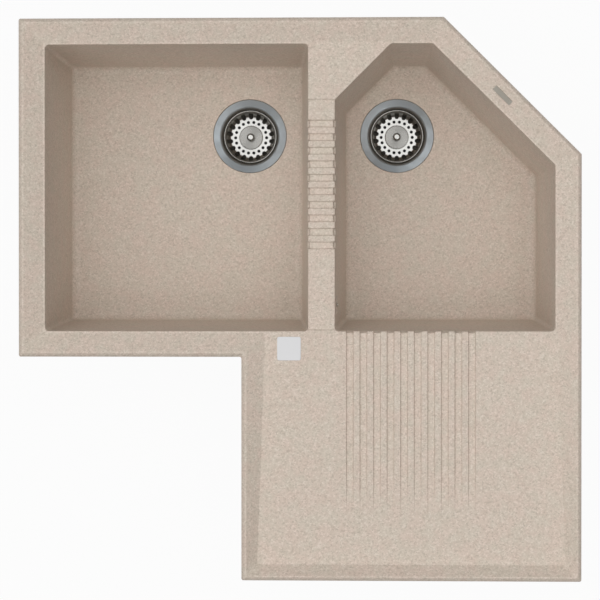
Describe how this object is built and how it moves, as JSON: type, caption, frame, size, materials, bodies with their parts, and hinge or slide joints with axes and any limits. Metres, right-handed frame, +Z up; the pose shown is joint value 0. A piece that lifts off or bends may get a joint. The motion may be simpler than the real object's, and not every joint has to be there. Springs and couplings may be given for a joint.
{
  "type": "corner kitchen sink",
  "caption": "Inset corner kitchen sink of granite composite with bowls, lowered grooved divider, tap deck, grooved drainer, lift-out basket strainers, overflow and worktop clips.",
  "frame": {"origin": "inner corner of the worktop cut-out, on the plane where the rim rests on the worktop, 10 mm inside both edges of the rim", "axes": "+X to the right along the back wing, towards the corner bowl; +Y to the back of the sink; +Z up out of the bowls"},
  "size_m": [0.83, 0.83, 0.303],
  "materials": {
    "granite": "matt moulded granite composite, sand beige",
    "steel": "polished stainless steel",
    "satin_steel": "satin stainless steel",
    "rubber": "black rubber",
    "foam": "closed-cell foam",
    "plastic": "moulded polypropylene",
    "brass": "turned brass",
    "zinc_steel": "zinc-plated steel",
    "white_plate": "plain white plate"
  },
  "bodies": {
    "sink": {"sink_body": "granite", "rim_seal": "foam", "square_tile": "white_plate", "small_plate": "steel", "left_strainer_cup": "satin_steel", "left_flange_seal": "rubber", "left_clamp_seal": "rubber", "left_waste_body": "plastic", "left_screw_bush": "brass", "left_centre_screw": "steel", "right_strainer_cup": "satin_steel", "right_flange_seal": "rubber", "right_clamp_seal": "rubber", "right_waste_body": "plastic", "right_screw_bush": "brass", "right_centre_screw": "steel", "overflow_elbow": "plastic", "overflow_seal": "rubber", "overflow_screw": "steel", "overflow_hose": "plastic", "elbow_nut": "plastic", "inlet_nut": "plastic", "clip_insert_inner_side": "plastic", "clip_insert_drainer_end": "plastic", "clip_insert_right_front": "plastic", "clip_insert_right_back": "plastic", "clip_insert_back_right": "plastic", "clip_insert_back_left": "plastic", "clip_insert_left_side": "plastic", "clip_insert_front": "plastic"},
    "left_basket": {"left_basket": "steel", "left_basket_knob": "steel", "left_stopper_seal": "rubber", "left_stem_clip": "steel"},
    "right_basket": {"right_basket": "steel", "right_basket_knob": "steel", "right_stopper_seal": "rubber", "right_stem_clip": "steel"},
    "clip_screw_inner_side": {"clip_screw_inner_side": "zinc_steel"},
    "clip_inner_side": {"clip_inner_side": "zinc_steel"},
    "clip_screw_drainer_end": {"clip_screw_drainer_end": "zinc_steel"},
    "clip_drainer_end": {"clip_drainer_end": "zinc_steel"},
    "clip_screw_right_front": {"clip_screw_right_front": "zinc_steel"},
    "clip_right_front": {"clip_right_front": "zinc_steel"},
    "clip_screw_right_back": {"clip_screw_right_back": "zinc_steel"},
    "clip_right_back": {"clip_right_back": "zinc_steel"},
    "clip_screw_back_right": {"clip_screw_back_right": "zinc_steel"},
    "clip_back_right": {"clip_back_right": "zinc_steel"},
    "clip_screw_back_left": {"clip_screw_back_left": "zinc_steel"},
    "clip_back_left": {"clip_back_left": "zinc_steel"},
    "clip_screw_left_side": {"clip_screw_left_side": "zinc_steel"},
    "clip_left_side": {"clip_left_side": "zinc_steel"},
    "clip_screw_front": {"clip_screw_front": "zinc_steel"},
    "clip_front": {"clip_front": "zinc_steel"}
  },
  "joints": [
    {"name": "left_basket_lift", "type": "slide", "parent": "sink", "child": "left_basket", "axis": [0, 0, 1], "range_m": [0, 0.26]},
    {"name": "right_basket_lift", "type": "slide", "parent": "sink", "child": "right_basket", "axis": [0, 0, 1], "range_m": [0, 0.26]},
    {"name": "clip_screw_inner_side_draw", "type": "slide", "parent": "sink", "child": "clip_screw_inner_side", "axis": [0, 0, 1], "range_m": [-0.002, 0.01]},
    {"name": "clip_inner_side_swing", "type": "hinge", "parent": "clip_screw_inner_side", "child": "clip_inner_side", "pos_m": [0.0135, -0.175, -0.05], "axis": [0, 0, 1], "range_deg": [0, 90]},
    {"name": "clip_screw_drainer_end_draw", "type": "slide", "parent": "sink", "child": "clip_screw_drainer_end", "axis": [0, 0, 1], "range_m": [-0.002, 0.01]},
    {"name": "clip_drainer_end_swing", "type": "hinge", "parent": "clip_screw_drainer_end", "child": "clip_drainer_end", "pos_m": [0.24, -0.3165, -0.05], "axis": [0, 0, 1], "range_deg": [0, 90]},
    {"name": "clip_screw_right_front_draw", "type": "slide", "parent": "sink", "child": "clip_screw_right_front", "axis": [0, 0, 1], "range_m": [-0.002, 0.01]},
    {"name": "clip_right_front_swing", "type": "hinge", "parent": "clip_screw_right_front", "child": "clip_right_front", "pos_m": [0.4665, -0.183, -0.05], "axis": [0, 0, 1], "range_deg": [0, 90]},
    {"name": "clip_screw_right_back_draw", "type": "slide", "parent": "sink", "child": "clip_screw_right_back", "axis": [0, 0, 1], "range_m": [-0.002, 0.01]},
    {"name": "clip_right_back_swing", "type": "hinge", "parent": "clip_screw_right_back", "child": "clip_right_back", "pos_m": [0.4665, 0.1624, -0.05], "axis": [0, 0, 1], "range_deg": [0, 90]},
    {"name": "clip_screw_back_right_draw", "type": "slide", "parent": "sink", "child": "clip_screw_back_right", "axis": [0, 0, 1], "range_m": [-0.002, 0.01]},
    {"name": "clip_back_right_swing", "type": "hinge", "parent": "clip_screw_back_right", "child": "clip_back_right", "pos_m": [0.1624, 0.4665, -0.05], "axis": [0, 0, 1], "range_deg": [0, 90]},
    {"name": "clip_screw_back_left_draw", "type": "slide", "parent": "sink", "child": "clip_screw_back_left", "axis": [0, 0, 1], "range_m": [-0.002, 0.01]},
    {"name": "clip_back_left_swing", "type": "hinge", "parent": "clip_screw_back_left", "child": "clip_back_left", "pos_m": [-0.2144, 0.4665, -0.05], "axis": [0, 0, 1], "range_deg": [0, 90]},
    {"name": "clip_screw_left_side_draw", "type": "slide", "parent": "sink", "child": "clip_screw_left_side", "axis": [0, 0, 1], "range_m": [-0.002, 0.01]},
    {"name": "clip_left_side_swing", "type": "hinge", "parent": "clip_screw_left_side", "child": "clip_left_side", "pos_m": [-0.3165, 0.24, -0.05], "axis": [0, 0, 1], "range_deg": [0, 90]},
    {"name": "clip_screw_front_draw", "type": "slide", "parent": "sink", "child": "clip_screw_front", "axis": [0, 0, 1], "range_m": [-0.002, 0.01]},
    {"name": "clip_front_swing", "type": "hinge", "parent": "clip_screw_front", "child": "clip_front", "pos_m": [-0.175, 0.0135, -0.05], "axis": [0, 0, 1], "range_deg": [0, 90]}
  ]
}
